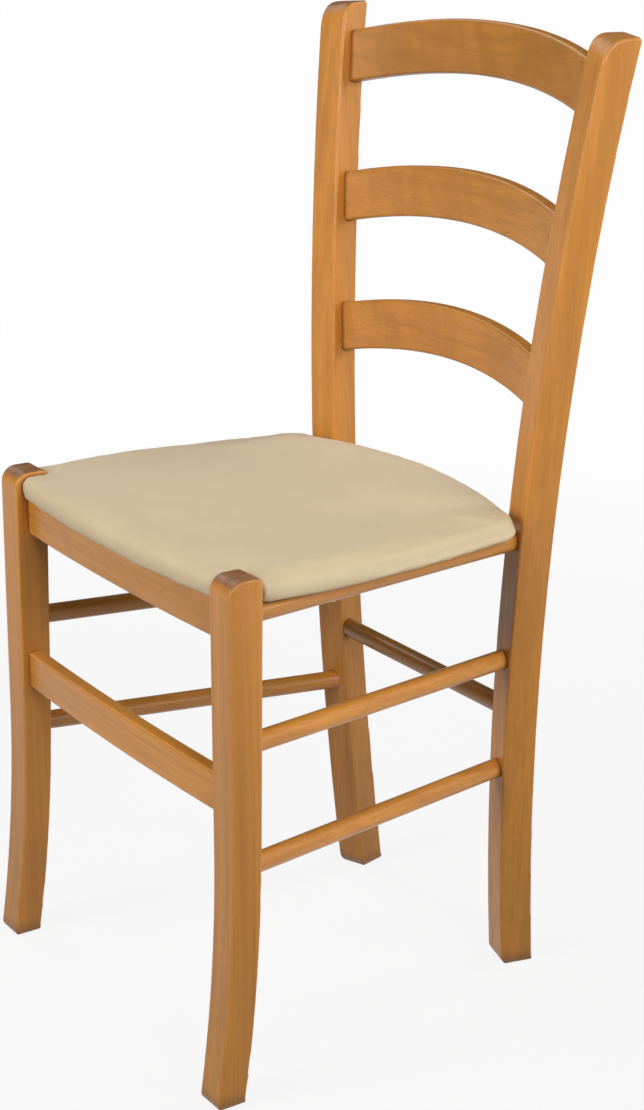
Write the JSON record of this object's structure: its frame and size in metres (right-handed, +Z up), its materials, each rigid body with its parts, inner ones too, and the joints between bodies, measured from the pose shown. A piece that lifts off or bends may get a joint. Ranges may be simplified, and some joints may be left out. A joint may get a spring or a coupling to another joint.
{
  "type": "upholstered dining chair",
  "caption": "Ladder-back dining chair: lacquered wood frame with bent arched slats, turned rungs and a notched upholstered seat pad.",
  "frame": {"origin": "on the floor, under the middle of the chair's bounding box", "axes": "+Z up, the sitter faces -Y, +X is the sitter's left"},
  "size_m": [0.431, 0.4402, 0.88],
  "materials": {
    "frame_wood": "satin lacquer",
    "plywood": "raw",
    "foam": "matte foam",
    "cover": "smooth woven",
    "dust_cloth": "matte",
    "screw": "zinc plated"
  },
  "bodies": {
    "root": {"front_leg_left": "frame_wood", "front_leg_right": "frame_wood", "back_post_left": "frame_wood", "back_post_right": "frame_wood", "back_slat_top": "frame_wood", "back_slat_middle": "frame_wood", "back_slat_bottom": "frame_wood", "front_seat_rail": "frame_wood", "side_seat_rail_left": "frame_wood", "side_seat_rail_right": "frame_wood", "rear_seat_rail": "frame_wood", "front_stretcher": "frame_wood", "upper_side_rung_left": "frame_wood", "upper_side_rung_right": "frame_wood", "lower_side_rung_left": "frame_wood", "lower_side_rung_right": "frame_wood", "rear_rung": "frame_wood", "seat_board": "plywood", "seat_foam": "foam", "seat_cover": "cover", "seat_dust_cloth": "dust_cloth", "seat_screws": "screw"}
  },
  "joints": []
}
